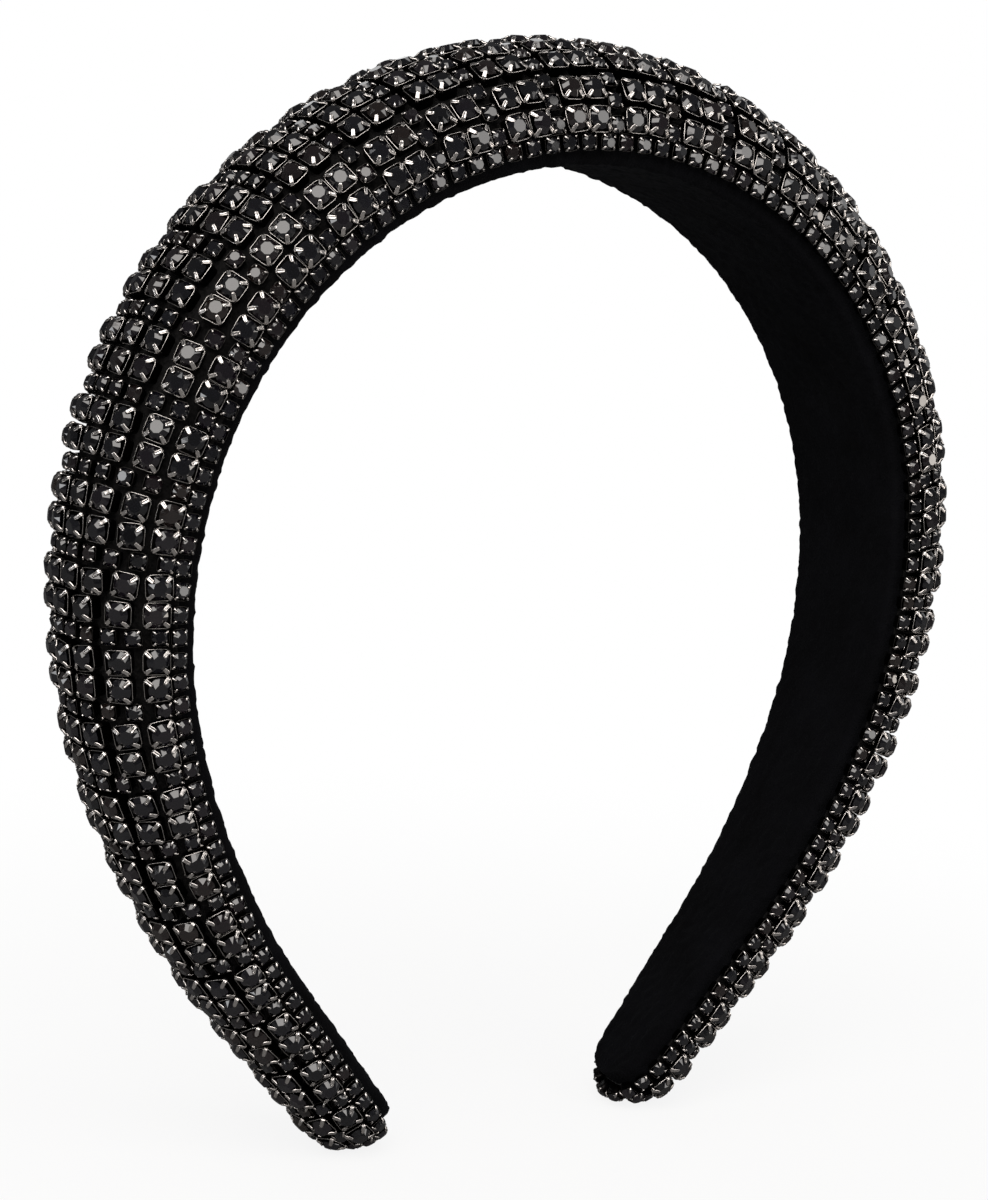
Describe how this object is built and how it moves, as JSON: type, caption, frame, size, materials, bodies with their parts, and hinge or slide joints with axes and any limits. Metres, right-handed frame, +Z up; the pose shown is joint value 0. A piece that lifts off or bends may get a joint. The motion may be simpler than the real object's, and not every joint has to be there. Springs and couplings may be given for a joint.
{
  "type": "padded headband",
  "caption": "Padded headband with a springy arched strip, soft velvet lining and dark set stones in metal cups over the outside.",
  "frame": {"origin": "the middle of the crown on the lining's inner face, where the band sits on the head", "axes": "+Z up as worn, X from arm to arm, Y across the band from front to back"},
  "size_m": [0.155, 0.0338, 0.1668],
  "materials": {
    "velvet": "short-pile velvet",
    "strip_plastic": "moulded",
    "foam": "open-cell foam",
    "cover_cloth": "fine mesh cloth",
    "cup_metal": "gunmetal plated",
    "dark_stone": "faceted, foiled black"
  },
  "bodies": {
    "crown": {"crown_lining": "velvet", "crown_spring_strip": "strip_plastic", "crown_foam_pad": "foam", "crown_cover": "cover_cloth", "crown_large_cups": "cup_metal", "crown_large_stones": "dark_stone", "crown_small_cups": "cup_metal", "crown_small_stones": "dark_stone", "crown_edge_cups": "cup_metal", "crown_edge_stones": "dark_stone"},
    "left_arm": {"left_arm_lining": "velvet", "left_arm_spring_strip": "strip_plastic", "left_arm_foam_pad": "foam", "left_arm_cover": "cover_cloth", "left_arm_large_cups": "cup_metal", "left_arm_large_stones": "dark_stone", "left_arm_small_cups": "cup_metal", "left_arm_small_stones": "dark_stone", "left_arm_edge_cups": "cup_metal", "left_arm_edge_stones": "dark_stone"},
    "right_arm": {"right_arm_lining": "velvet", "right_arm_spring_strip": "strip_plastic", "right_arm_foam_pad": "foam", "right_arm_cover": "cover_cloth", "right_arm_large_cups": "cup_metal", "right_arm_large_stones": "dark_stone", "right_arm_small_cups": "cup_metal", "right_arm_small_stones": "dark_stone", "right_arm_edge_cups": "cup_metal", "right_arm_edge_stones": "dark_stone"}
  },
  "joints": [
    {"name": "left_arm_flex", "type": "hinge", "parent": "crown", "child": "left_arm", "pos_m": [-0.0501, 0, -0.02237], "axis": [0, 1, 0], "range_deg": [-3, 10], "stiffness_Nm_per_rad": 1.3},
    {"name": "right_arm_flex", "type": "hinge", "parent": "crown", "child": "right_arm", "pos_m": [0.0501, 0, -0.02237], "axis": [0, -1, 0], "range_deg": [-3, 10], "stiffness_Nm_per_rad": 1.3}
  ]
}
